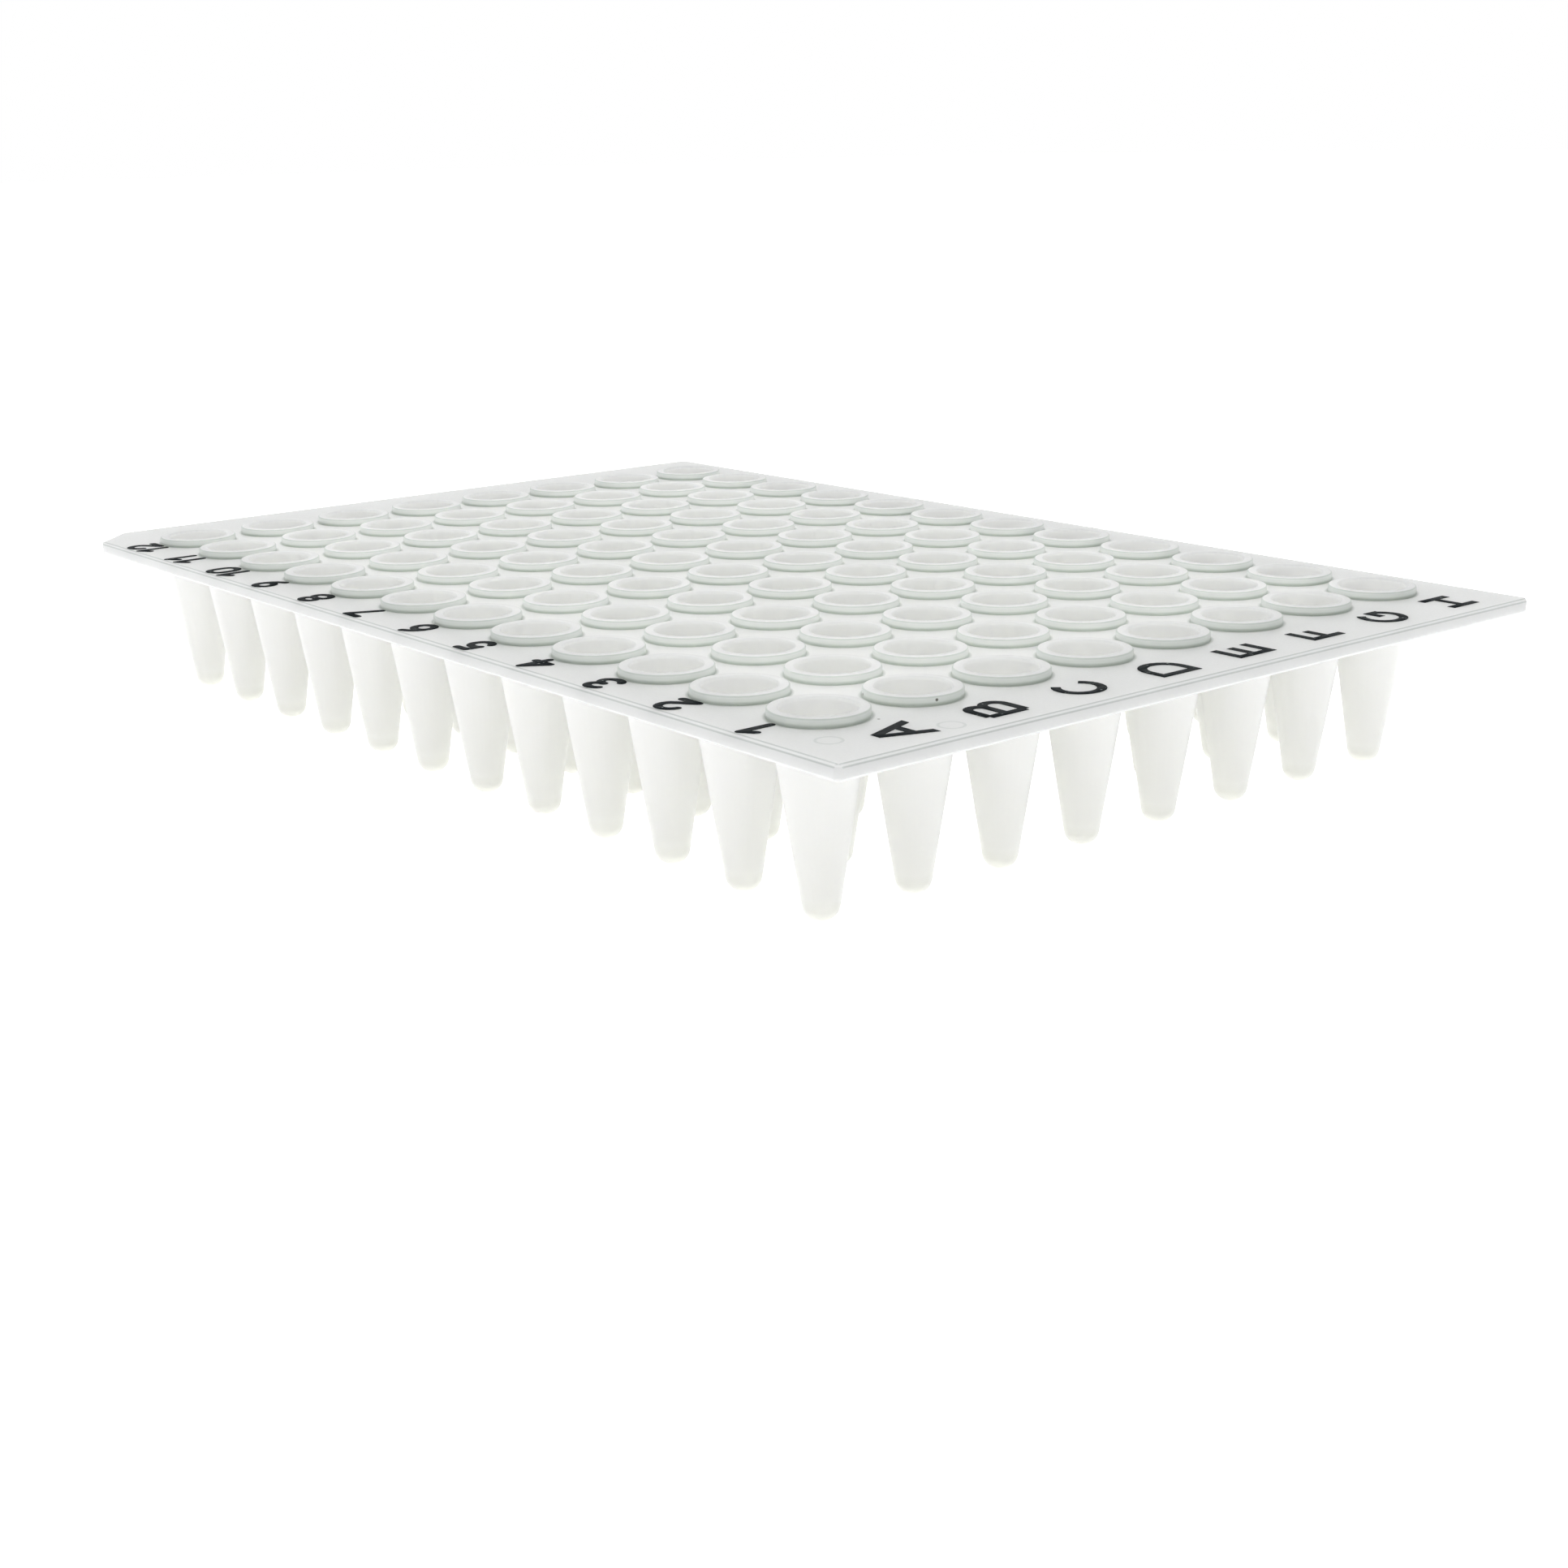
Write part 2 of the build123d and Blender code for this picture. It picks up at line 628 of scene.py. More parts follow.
@dataclass(frozen=True)
class WellShape:
    """Sizes of the well grid and of one well in millimetres, with heights above the tube tips."""

    pitch: float = 9.0
    columns: int = 12
    rows: int = 8
    deck_top: float = 15.2
    deck_thickness: float = 1.25
    rim_height: float = 0.7
    rim_radius: float = 3.75
    rim_foot: float = 0.06
    rim_lip: float = 0.14
    mouth_radius: float = 2.95
    mouth_edge: float = 0.04
    lead_in: float = 0.25
    lead_in_rounding: float = 0.2
    barrel_top_radius: float = 2.85
    barrel_end_radius: float = 2.78
    barrel_length: float = 3.4
    barrel_rounding: float = 2.0
    bore_end_radius: float = 0.9
    floor_thickness: float = 0.45
    floor_rounding: float = 0.8
    tube_top_radius: float = 3.43
    tube_root: float = 0.3
    tube_end_radius: float = 1.25
    tip_rounding: float = 1.15
    facets: int = 32

    @property
    def deck_underside(self) -> float:
        """Height of the deck's underside."""
        return self.deck_top - self.deck_thickness

    @property
    def rim_top(self) -> float:
        """Height of the rim's top face."""
        return self.deck_top + self.rim_height

    def inside(self) -> list[Turn]:
        """List the corners of the rim and the bore.

        Returns:
            The corners from the deck top over the rim and down to the bore's floor.
        """
        return [
            Turn(self.rim_radius, self.deck_top, self.rim_foot, 2),
            Turn(self.rim_radius, self.rim_top, self.rim_lip, 2),
            Turn(self.mouth_radius, self.rim_top, self.mouth_edge, 1),
            Turn(self.barrel_top_radius, self.rim_top - self.lead_in, self.lead_in_rounding, 1),
            Turn(self.barrel_end_radius, self.rim_top - self.barrel_length, self.barrel_rounding, 1),
            Turn(self.bore_end_radius, self.floor_thickness, self.floor_rounding, 4),
        ]

    def outside(self) -> list[Turn]:
        """List the corners of the tube's outside.

        Returns:
            The corners from the deck's underside down to the tip.
        """
        return [
            Turn(self.tube_top_radius, self.deck_underside, self.tube_root, 2),
            Turn(self.tube_end_radius, 0.0, self.tip_rounding, 5),
        ]


class WellCell:
    """One pitch square of the plate: both faces of the deck, the rim, the bore and the tube."""

    def __init__(self, shape: WellShape) -> None:
        """Keep the sizes of the well.

        Args:
            shape: The well's sizes.
        """
        self.shape = shape

    def build(self) -> Object:
        """Model the cell about the Z axis.

        Returns:
            The cell, open along its four sides.
        """
        deselect_all()
        bpy.ops.mesh.primitive_grid_add(**self._sheet(0.0))
        cell = bpy.context.active_object
        cell.name = "well_cell"
        start_editing(cell)
        bpy.ops.mesh.select_all(action="SELECT")
        bpy.ops.transform.translate(value=(0, 0, self.shape.deck_underside * MM))
        self._open_sheet(cell, self.shape.deck_underside)
        self._lathe(cell, self.shape.outside())
        bpy.ops.mesh.select_all(action="DESELECT")
        bpy.ops.mesh.primitive_grid_add(**self._sheet(self.shape.deck_top))
        self._open_sheet(cell, self.shape.deck_top)
        self._lathe(cell, self.shape.inside())
        bpy.ops.object.mode_set(mode="OBJECT")
        return cell

    def _sheet(self, height: float) -> dict:
        """Settings of a pitch square with as many outline points as the well has facets.

        Args:
            height: The square's height in millimetres.

        Returns:
            Arguments of the grid operator.
        """
        count = self.shape.facets // 4
        place = (0, 0, height * MM)
        size = self.shape.pitch * MM
        return {"x_subdivisions": count, "y_subdivisions": count, "size": size, "location": place}

    def _open_sheet(self, cell: Object, height: float) -> None:
        """Keep only the outline of the pitch square at one height.

        Args:
            cell: The object that is open in edit mode.
            height: The square's height in millimetres.
        """
        inner = self.shape.pitch * MM / 2 - SAME
        pick_points(cell, lambda at: near(at.z, height * MM) and max(abs(at.x), abs(at.y)) < inner)
        bpy.ops.mesh.delete(type="VERT")

    def _lathe(self, cell: Object, outline: Sequence[Turn]) -> None:
        """Join a circle to the sheet at its height, draw it out ring by ring, close it and round its corners.

        Args:
            cell: The object that is open in edit mode.
            outline: The corners, from the sheet to the closed end.
        """
        first = outline[0]
        bpy.ops.mesh.select_all(action="DESELECT")
        bpy.ops.mesh.primitive_circle_add(
            vertices=self.shape.facets,
            radius=first.radius * MM,
            fill_type="NOTHING",
            location=(0, 0, first.height * MM),
        )
        pick_points(cell, lambda at: near(at.z, first.height * MM))
        bpy.ops.mesh.bridge_edge_loops()
        radius, height = first.radius, first.height
        self._pick_ring(cell, first)
        for turn in outline[1:]:
            rise = (turn.height - height) * MM
            bpy.ops.mesh.extrude_region_move(TRANSFORM_OT_translate={"value": (0, 0, rise)})
            scale = turn.radius / radius
            bpy.ops.transform.resize(value=(scale, scale, 1), center_override=(0, 0, turn.height * MM))
            radius, height = turn.radius, turn.height
        bpy.ops.mesh.edge_face_add()
        bpy.ops.mesh.poke()
        ahead = [Turn(self.shape.pitch, first.height), *outline]
        behind = [*outline[1:], Turn(0, outline[-1].height)]
        for before, turn, after in zip(ahead, outline, behind):
            self._round_ring(cell, before, turn, after)

    def _pick_ring(self, cell: Object, turn: Turn) -> None:
        """Select the ring of vertices at one corner of the outline.

        Args:
            cell: The object that is open in edit mode.
            turn: The corner.
        """
        pick_points(
            cell,
            lambda at: near(at.z, turn.height * MM) and near(math.hypot(at.x, at.y), turn.radius * MM, WELD),
        )

    def _round_ring(self, cell: Object, before: Turn, turn: Turn, after: Turn) -> None:
        """Bevel one corner of the lathed outline to its rounding.

        Args:
            cell: The object that is open in edit mode.
            before: The corner ahead of it.
            turn: The corner to round.
            after: The corner behind it.
        """
        if not turn.rounding:
            return
        into = Vector((turn.radius - before.radius, turn.height - before.height))
        out = Vector((after.radius - turn.radius, after.height - turn.height))
        setback = turn.rounding * math.tan(into.angle(out) / 2)
        self._pick_ring(cell, turn)
        bpy.ops.mesh.bevel(
            offset_type="OFFSET",
            offset=setback * MM,
            segments=turn.steps,
            profile=0.5,
            affect="EDGES",
            clamp_overlap=False,
        )


@dataclass
class PlateMoulding:
    """The whole one-piece moulding, sized to the frame's box in metres, with details in millimetres."""

    low: Vector
    high: Vector
    well: WellShape
    corner_flat: float = 0.5
    edge_break: float = 0.22
    cut_length: float = 4.0
    cut_width: float = 6.5

    def build(self) -> Object:
        """Model the plate.

        Returns:
            The finished mesh object, at the origin.
        """
        plate = WellCell(self.well).build()
        plate.name = "plate_moulding"
        self._repeat(plate)
        self._add_margin(plate)
        self._cut_corner(plate)
        self._close_edge(plate)
        self._soften_edge(plate)
        self._shade(plate)
        return plate

    def _repeat(self, plate: Object) -> None:
        """Copy the cell over the grid and weld the copies.

        Args:
            plate: The cell, which becomes the grid.
        """
        step = self.well.pitch * MM
        for count, offset in ((self.well.columns, (step, 0, 0)), (self.well.rows, (0, step, 0))):
            apply_modifier(
                plate,
                "ARRAY",
                count=count,
                use_relative_offset=False,
                use_constant_offset=True,
                constant_offset_displace=offset,
                use_merge_vertices=True,
                merge_threshold=WELD,
            )
        start_editing(plate)
        bpy.ops.mesh.select_all(action="SELECT")
        back_x, back_y = (-step * (count - 1) / 2 for count in (self.well.columns, self.well.rows))
        bpy.ops.transform.translate(value=(back_x, back_y, 0))
        bpy.ops.mesh.remove_doubles(threshold=WELD)

    def _add_margin(self, plate: Object) -> None:
        """Carry both faces of the deck out past the well grid to the deck's outline.

        Args:
            plate: The object that is open in edit mode.
        """
        half_x, half_y = self._half_grid()
        pick_edges(plate, lambda edge: edge.is_boundary)
        bpy.ops.mesh.extrude_region_move(TRANSFORM_OT_translate={"value": (0, 0, 0)})
        bpy.ops.transform.resize(
            value=((self.high.x - self.low.x) / half_x / 2, (self.high.y - self.low.y) / half_y / 2, 1),
            center_override=(0, 0, self.well.deck_top * MM),
        )

    def _half_grid(self) -> Point:
        """Half the well grid's length and width in metres."""
        return self.well.pitch * self.well.columns / 2 * MM, self.well.pitch * self.well.rows / 2 * MM

    def _cut_corner(self, plate: Object) -> None:
        """Slice off the keyed corner.

        Args:
            plate: The object that is open in edit mode.
        """
        half_x, half_y = self._half_grid()
        pick_points(plate, lambda at: at.x > half_x - SAME or at.y > half_y - SAME)
        bpy.ops.mesh.bisect(
            plane_co=(self.high.x - self.cut_length * MM, self.high.y, 0),
            plane_no=(self.cut_width, self.cut_length, 0),
            clear_outer=True,
            threshold=SLICE,
        )

    def _close_edge(self, plate: Object) -> None:
        """Close the deck's edge between its two faces.

        Args:
            plate: The object that is open in edit mode.
        """
        middle = (self.well.deck_top + self.well.deck_underside) / 2 * MM
        pick_edges(plate, lambda edge: edge.is_boundary and edge.verts[0].co.z > middle)
        drop = -self.well.deck_thickness * MM
        bpy.ops.mesh.extrude_region_move(TRANSFORM_OT_translate={"value": (0, 0, drop)})
        bpy.ops.mesh.select_mode(type="VERT")
        weld(WELD)

    def _corners(self) -> list[Vector]:
        """Work out where the deck's five upright corner edges stand.

        Returns:
            Their places, seen from above.
        """
        cut_x, cut_y = self.high.x - self.cut_length * MM, self.high.y - self.cut_width * MM
        return [
            Vector((self.low.x, self.low.y)),
            Vector((self.high.x, self.low.y)),
            Vector((self.high.x, cut_y)),
            Vector((cut_x, self.high.y)),
            Vector((self.low.x, self.high.y)),
        ]

    def _soften_edge(self, plate: Object) -> None:
        """Flatten the deck's upright corners and break its long edges, with crisp borders.

        Args:
            plate: The object that is open in edit mode.
        """
        for wanted, width in ((self._is_corner, self.corner_flat), (self._is_long_edge, self.edge_break)):
            pick_edges(plate, wanted)
            bpy.ops.mesh.bevel(offset=width * MM, segments=1, affect="EDGES", clamp_overlap=False)
            bpy.ops.mesh.mark_sharp()

    def _is_corner(self, edge: bmesh.types.BMEdge) -> bool:
        """Pick out the deck's upright corner edges.

        Args:
            edge: Any edge of the moulding.

        Returns:
            Whether the edge stands at one of the five corners.
        """
        one, other = (vertex.co for vertex in edge.verts)
        upright = near(one.x, other.x) and near(one.y, other.y) and not near(one.z, other.z)
        return upright and any((one.xy - corner).length < WELD for corner in self._corners())

    def _is_long_edge(self, edge: bmesh.types.BMEdge) -> bool:
        """Pick out the edges round the deck's two faces.

        Args:
            edge: Any edge of the moulding.

        Returns:
            Whether the edge lies past the well grid, between a level face and an upright one.
        """
        half_x, half_y = self._half_grid()
        if not any(abs(v.co.x) > half_x + WELD or abs(v.co.y) > half_y + WELD for v in edge.verts):
            return False
        heights = (self.well.deck_top * MM, self.well.deck_underside * MM)
        level = any(all(near(vertex.co.z, height) for vertex in edge.verts) for height in heights)
        tilts = [abs(face.normal.z) for face in edge.link_faces]
        return level and min(tilts) < UPRIGHT and max(tilts) > LEVEL

    def _shade(self, plate: Object) -> None:
        """Point the faces outward and shade curves smooth and flats flat.

        Args:
            plate: The object that is open in edit mode.
        """
        bpy.ops.mesh.select_mode(type="VERT")
        weld(SAME)
        bpy.ops.object.mode_set(mode="OBJECT")
        make_active(plate)
        bpy.ops.object.shade_smooth()
        apply_modifier(plate, "WEIGHTED_NORMAL", mode="FACE_AREA", weight=50, keep_sharp=True)


# ---- The printed labels ----


class Tip(Enum):
    """How a printed stroke ends."""

    SQUARE = "square"
    ROUND = "round"


ARC_STEP = 15.0
CAP_STEPS = 7


def arc(centre: Point, radius: float, start: float, end: float, tall: float | None = None) -> list[Point]:
    """Points along a circular or elliptical arc, both ends included.

    Args:
        centre: The arc's centre.
        radius: Its radius, or its half width where tall is given.
        start: First angle in degrees, anticlockwise from the right.
        end: Last angle in degrees.
        tall: Its half height, for an ellipse.

    Returns:
        The points in order from start to end.
    """
    steps = max(3, round(abs(end - start) / ARC_STEP))
    angles = [math.radians(start + (end - start) * i / steps) for i in range(steps + 1)]
    return [(centre[0] + radius * math.cos(a), centre[1] + (tall or radius) * math.sin(a)) for a in angles]


@dataclass(frozen=True)
class Stroke:
    """The centre line of one pen stroke, in millimetres from the glyph's lower left corner."""

    path: Sequence[Point]
    closed: bool = False

    def outlines(self, width: float, tip: Tip) -> list[list[Vector]]:
        """Closed outlines of the stroke at a pen width.

        Args:
            width: The pen's width.
            tip: How an open stroke ends.

        Returns:
            One outline for an open stroke, or an outer and an inner one for a ring.
        """
        points = [Vector(p) for p in self.path]
        left, right = [], []
        for i, here in enumerate(points):
            before = points[i - 1] if i or self.closed else None
            after = points[(i + 1) % len(points)] if i + 1 < len(points) or self.closed else None
            into = (here - before).normalized() if before else (after - here).normalized()
            out = (after - here).normalized() if after else into
            normal = Vector((-into.y - out.y, into.x + out.x)).normalized()
            reach = width / 2 / normal.dot(Vector((-into.y, into.x)))
            left.append(here + normal * reach)
            right.append(here - normal * reach)
        if self.closed:
            return [left, right]
        if tip is Tip.ROUND:
            left += self._cap(points[-1], left[-1])
            right = self._cap(points[0], right[0])[::-1] + right
        return [left + right[::-1]]

    @staticmethod
    def _cap(centre: Vector, start: Vector) -> list[Vector]:
        """Round off a stroke's end with a half circle that runs clockwise.

        Args:
            centre: The end of the stroke's centre line.
            start: The point at the stroke's side where the half circle starts.

        Returns:
            The points between the stroke's two sides.
        """
        arm = start - centre
        turns = [-math.pi * i / (CAP_STEPS + 1) for i in range(1, CAP_STEPS + 1)]
        return [centre + Matrix.Rotation(turn, 2) @ arm for turn in turns]


@dataclass(frozen=True)
class Face:
    """One printed style: its height, pen width, gap and strokes, in millimetres."""

    height: float
    pen: float
    tip: Tip
    gap: float
    strokes: dict[str, tuple[Stroke, ...]]

    def width(self, character: str) -> float:
        """Printed width of one character."""
        reach = [p[0] for stroke in self.strokes[character] for p in stroke.path]
        return max(reach) - min(reach) + self.pen


def line(*points: Point) -> Stroke:
    """A straight stroke through points."""
    return Stroke(points)


ROW_FACE = Face(
    height=4.25,
    pen=0.75,
    tip=Tip.SQUARE,
    gap=0.4,
    strokes={
        "A": (
            line((-0.1, -0.6), (1.6, 4.1)),
            line((3.3, -0.6), (1.6, 4.1)),
            line((0.58, 1.2), (2.62, 1.2)),
        ),
        "B": (
            line((0, 0), (0, 3.5)),
            Stroke([(0, 3.5), *arc((1.9, 2.675), 0.825, 90, -90), (0, 1.85)]),
            Stroke([(0, 1.85), *arc((2.1, 0.925), 0.925, 90, -90), (0, 0)]),
        ),
        "C": (Stroke(arc((1.65, 1.75), 1.65, 42, 318, 1.75)),),
        "D": (Stroke([(0, 0), (0, 3.5), *arc((1.4, 1.75), 1.75, 90, -90)], closed=True),),
        "E": (line((2.75, 3.5), (0, 3.5), (0, 0), (2.75, 0)), line((0, 1.8), (2.5, 1.8))),
        "F": (line((2.7, 3.5), (0, 3.5), (0, 0)), line((0, 1.75), (2.3, 1.75))),
        "G": (
            Stroke(arc((1.7, 1.75), 1.7, 42, 330, 1.75)),
            line((1.8, 1.6), (3.12, 1.6), (3.12, 0.35)),
        ),
        "H": (line((0, 0), (0, 3.5)), line((3.0, 0), (3.0, 3.5)), line((0, 1.8), (3.0, 1.8))),
    },
)

COLUMN_FACE = Face(
    height=3.45,
    pen=0.72,
    tip=Tip.ROUND,
    gap=0.35,
    strokes={
        "0": (Stroke([*arc((0.95, 1.78), 0.95, 0, 180), *arc((0.95, 0.95), 0.95, 180, 360)], closed=True),),
        "1": (line((0.95, 0), (0.95, 2.73)), line((0.95, 2.73), (0, 2.04))),
        "2": (
            Stroke([*arc((0.95, 1.80), 0.93, 172, -38), (0.02, 0.0)]),
            line((0.02, 0), (1.9, 0)),
        ),
        "3": (
            Stroke(arc((0.90, 2.07), 0.80, 150, -90, 0.66)),
            Stroke(arc((0.90, 0.705), 0.95, 90, -152, 0.705)),
        ),
        "4": (line((1.35, 2.73), (0, 0.85)), line((0, 0.85), (1.95, 0.85)), line((1.35, 2.73), (1.35, 0))),
        "5": (
            line((1.7, 2.73), (0.36, 2.73)),
            line((0.36, 2.73), (0.26, 1.45)),
            Stroke(arc((0.93, 0.88), 0.88, 140, -150)),
        ),
        "6": (
            Stroke(arc((0.95, 0.86), 0.86, 0, 345), closed=True),
            Stroke(arc((1.99, 0.9), 1.9, 180, 106)),
        ),
        "7": (line((0, 2.73), (1.9, 2.73)), line((1.9, 2.73), (0.65, 0))),
        "8": (
            Stroke(arc((0.95, 2.09), 0.80, 0, 345, 0.64), closed=True),
            Stroke(arc((0.95, 0.725), 0.95, 0, 345, 0.725), closed=True),
        ),
        "9": (
            Stroke(arc((0.95, 1.87), 0.86, 0, 345), closed=True),
            Stroke(arc((-0.09, 1.83), 1.9, 0, -74)),
        ),
    },
)


@dataclass
class LabelPrint:
    """Row letters and column numbers printed flat on two margins of the deck, sizes in millimetres."""

    low: Vector
    high: Vector
    well: WellShape
    letter_centre: float = 3.82
    letter_drop: float = 1.2
    number_centre: float = 2.02
    digit_shift: float = 0.52
    one_shift: float = -0.18
    ink: float = 0.02
    seat: float = 0.005
    slab_reach: float = 1.0
    slab_step: float = 0.13

    def build(self) -> list[Object]:
        """Print every label.

        Returns:
            One mesh object for each label, at the origin.
        """
        labels = []
        step = self.well.pitch
        for row, letter in enumerate(ROW_LETTERS):
            up = ((self.well.rows - 1) / 2 - row) * step
            at = (self.low.x / MM + self.letter_centre, up - self.letter_drop)
            labels.append(self._print(f"row_{letter.lower()}", letter, ROW_FACE, at))
        for column in range(1, self.well.columns + 1):
            text = str(column)
            along = (column - (self.well.columns + 1) / 2) * step
            at = (along + self._shift(text), self.high.y / MM - self.number_centre)
            labels.append(self._print(f"column_{column}", text, COLUMN_FACE, at))
        return labels

    def _shift(self, text: str) -> float:
        """Say how far right of its column's middle a number is printed.

        Args:
            text: The number.

        Returns:
            The shift in millimetres; a number of two digits has none.
        """
        if len(text) > 1:
            return 0.0
        return self.one_shift if text == "1" else self.digit_shift

    def _print(self, name: str, text: str, face: Face, centre: Point) -> Object:
        """Print one label centred on a point of the deck.

        Args:
            name: The piece's name.
            text: The characters.
            face: The printed style.
            centre: Where its middle goes.

        Returns:
            The label as one closed mesh object.
        """
        width = sum(face.width(c) for c in text) + face.gap * (len(text) - 1)
        x = centre[0] - width / 2
        y = centre[1] - face.height / 2 + face.pen / 2
        label = None
        for character in text:
            reach = min(p[0] for stroke in face.strokes[character] for p in stroke.path)
            for number, stroke in enumerate(face.strokes[character]):
                slab = self._slab(stroke, face, Vector((x + face.pen / 2 - reach, y)), number)
                if label is None:
                    label = slab
                    label.name = name
                else:
                    apply_modifier(label, "BOOLEAN", operation="UNION", solver="EXACT", object=slab)
                    bpy.data.objects.remove(slab)
            x += face.width(character) + face.gap
        self._trim(label, centre[1], face)
        self._plane_down(label)
        return label

    def _slab(self, stroke: Stroke, face: Face, corner: Vector, number: int) -> Object:
        """Make one stroke as a slab that reaches well above and below the print.

        Args:
            stroke: The stroke.
            face: The printed style.
            corner: The glyph's lower left corner, in millimetres.
            number: The stroke's place in the glyph, which sets its height so that no two slabs end level.

        Returns:
            A closed mesh object.
        """
        curve = bpy.data.curves.new("stroke", "CURVE")
        curve.dimensions = "2D"
        curve.fill_mode = "BOTH"
        curve.extrude = (self.slab_reach + self.slab_step * number) * MM
        for outline in stroke.outlines(face.pen, face.tip):
            spline = curve.splines.new("POLY")
            spline.points.add(len(outline) - 1)
            for point, at in zip(spline.points, outline):
                place = (at + corner) * MM
                point.co = (place.x, place.y, 0, 1)
            spline.use_cyclic_u = True
        slab = bpy.data.objects.new("stroke", curve)
        bpy.context.collection.objects.link(slab)
        make_active(slab)
        bpy.ops.object.convert(target="MESH")
        slab = bpy.context.active_object
        start_editing(slab)
        bpy.ops.mesh.select_all(action="SELECT")
        bpy.ops.transform.translate(value=(0, 0, self.well.deck_top * MM))
        weld(WELD)
        bpy.ops.object.mode_set(mode="OBJECT")
        return slab

    def _trim(self, label: Object, middle: float, face: Face) -> None:
        """Cut strokes that run on past the cap line or the base line flat.

        Args:
            label: The joined slabs.
            middle: Height of the print's middle on the deck.
            face: The printed style.
        """
        reach = max(abs(vertex.co.y / MM - middle) for vertex in label.data.vertices)
        if near(reach, face.height / 2, face.pen / 10):
            return
        start_editing(label)
        for side in (1, -1):
            bpy.ops.mesh.select_all(action="SELECT")
            bpy.ops.mesh.bisect(
                plane_co=(0, (middle + side * face.height / 2) * MM, 0),
                plane_no=(0, side, 0),
                use_fill=True,
                clear_outer=True,
                threshold=SLICE,
            )
        bpy.ops.object.mode_set(mode="OBJECT")

    def _plane_down(self, label: Object) -> None:
        """Slice the joined slabs down to the thickness of the ink.

        Args:
            label: The joined slabs.
        """
        start_editing(label)
        top, bottom = (self.well.deck_top + self.ink) * MM, (self.well.deck_top - self.seat) * MM
        for height, outer in ((top, True), (bottom, False)):
            bpy.ops.mesh.select_all(action="SELECT")
            bpy.ops.mesh.bisect(
                plane_co=(0, 0, height),
                plane_no=(0, 0, 1),
                use_fill=True,
                clear_outer=outer,
                clear_inner=not outer,
                threshold=SLICE,
            )
        weld(SAME)
        bpy.ops.object.mode_set(mode="OBJECT")


# ---- Studio ----


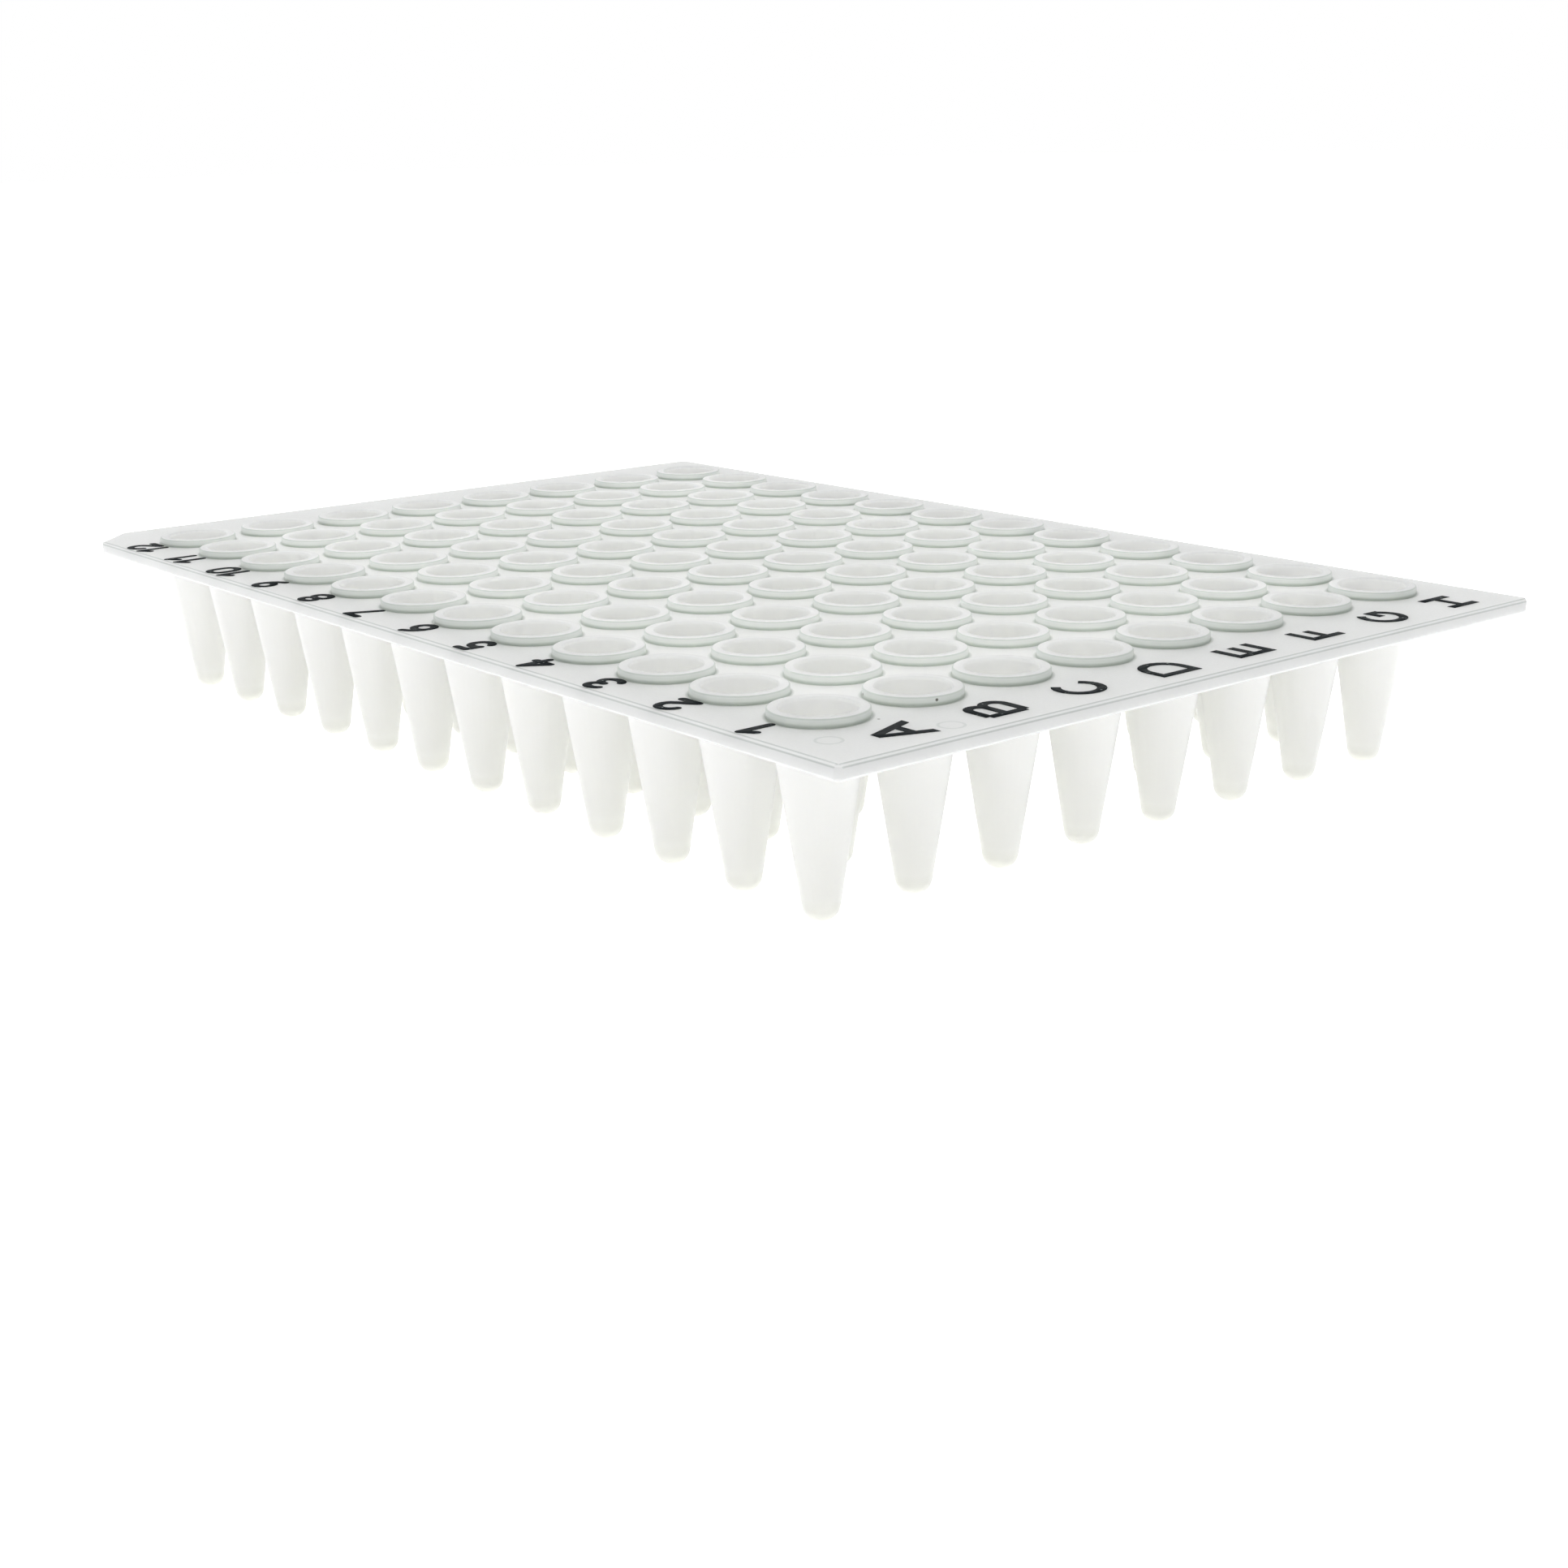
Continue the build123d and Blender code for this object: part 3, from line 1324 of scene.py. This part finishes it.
@dataclass
class Studio:
    """Light table, white surround, one soft lamp and the camera, in metres and radians."""

    target: Vector
    floor_size: float = 6.0
    key_size: float = 0.5
    key_power: float = 0.3
    key_place: Spot = (0.45, 0.10, 0.40)
    world_level: float = 0.82
    bright_side: Spot = (0.10, -0.03, 0.30)
    light_bounces: int = 32
    camera_place: Spot = (-0.168757, 0.131255, 0.055043)
    camera_heading: float = -0.680327
    camera_dip: float = 0.280663
    camera_roll: float = -0.018692
    lens_mm: float = 52.30
    sensor_mm: float = 36.0
    near_clip: float = 0.01

    def build(self) -> None:
        """Set up floor, light and camera."""
        self._floor()
        self._world()
        self._lamps()
        self._light_paths()
        self._camera()

    def _floor(self) -> None:
        """Lay the light table under the tube tips."""
        deselect_all()
        bpy.ops.mesh.primitive_plane_add(size=self.floor_size, location=(0, 0, CAD_BOX[0][2]))
        floor = bpy.context.active_object
        floor.name = "light_table"
        floor.data.materials.append(LightTable().build())

    def _world(self) -> None:
        """Surround the scene with soft white light, brightest overhead and a little brighter behind."""
        world = bpy.data.worlds.new("studio_surround")
        bpy.context.scene.world = world
        bench = NodeBench(world)
        place = bench.add("TexCoord").outputs["Generated"]
        facing = bench.add("VectorMath", {0: place, 1: self.bright_side}, operation="DOT_PRODUCT")
        level = bench.add("Math", {0: facing.outputs["Value"], 1: self.world_level}, operation="ADD")
        path = bench.add("LightPath").outputs
        seen = bench.add(
            "Math", {0: path["Is Camera Ray"], 1: path["Is Transmission Ray"]}, operation="MAXIMUM"
        )
        strength = bench.add(
            "Mix", {"Factor": seen.outputs[0], 2: level.outputs[0], 3: 1.0}, data_type="FLOAT"
        )
        sky = bench.add("Background", {"Color": linear("#FFFFFF"), "Strength": strength.outputs[0]})
        bench.add("OutputWorld", {"Surface": sky.outputs[0]})

    def _lamps(self) -> None:
        """Hang one large soft lamp behind, to the left."""
        bpy.ops.object.light_add(type="AREA", location=self.key_place)
        lamp = bpy.context.active_object
        lamp.name = "left_softbox"
        lamp.data.size = self.key_size
        lamp.data.energy = self.key_power
        lamp.rotation_euler = (self.target - Vector(self.key_place)).to_track_quat("-Z", "Y").to_euler()

    def _light_paths(self) -> None:
        """Let light pass through many thin walls before it is given up."""
        paths = bpy.context.scene.cycles
        paths.max_bounces = self.light_bounces
        paths.transmission_bounces = self.light_bounces
        paths.diffuse_bounces = self.light_bounces // 2

    def _camera(self) -> None:
        """Stand the camera low off the A1 corner."""
        heading, dip, roll = self.camera_heading, self.camera_dip, self.camera_roll
        ahead = Vector((math.cos(heading) * math.cos(dip), math.sin(heading) * math.cos(dip), -math.sin(dip)))
        side = ahead.cross(Vector((0, 0, 1))).normalized()
        up = side.cross(ahead)
        right = math.cos(roll) * side + math.sin(roll) * up
        top = -math.sin(roll) * side + math.cos(roll) * up
        turn = Matrix((right, top, -ahead)).transposed()
        data = bpy.data.cameras.new("camera")
        data.sensor_width = self.sensor_mm
        data.lens = self.lens_mm
        data.clip_start = self.near_clip
        camera = bpy.data.objects.new("camera", data)
        bpy.context.collection.objects.link(camera)
        camera.matrix_world = Matrix.Translation(self.camera_place) @ turn.to_4x4()
        bpy.context.scene.camera = camera


def main() -> None:
    """Build each sub-assembly in order and report it."""
    low, high = (Vector(corner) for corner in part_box(NODE))
    well = WellShape()
    plate = PlateMoulding(low, high, well)
    moulding = plate.build()
    moulding.data.materials.clear()
    moulding.data.materials.append(MouldedPolypropylene().build(well, (high - low) / 2, plate.edge_break))
    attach(moulding, BODY)
    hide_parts(NODE)
    log.info("%s: %d faces", moulding.name, len(moulding.data.polygons))
    ink = PrintedInk().build()
    for label in LabelPrint(low, high, well).build():
        label.data.materials.clear()
        label.data.materials.append(ink)
        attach(label, BODY)
        log.info("%s: %d faces", label.name, len(label.data.polygons))
    Studio((low + high) / 2).build()
    bpy.context.scene.view_settings.view_transform = "Standard"


if __name__ == "__main__":
    logging.basicConfig(level=logging.INFO)
    main()
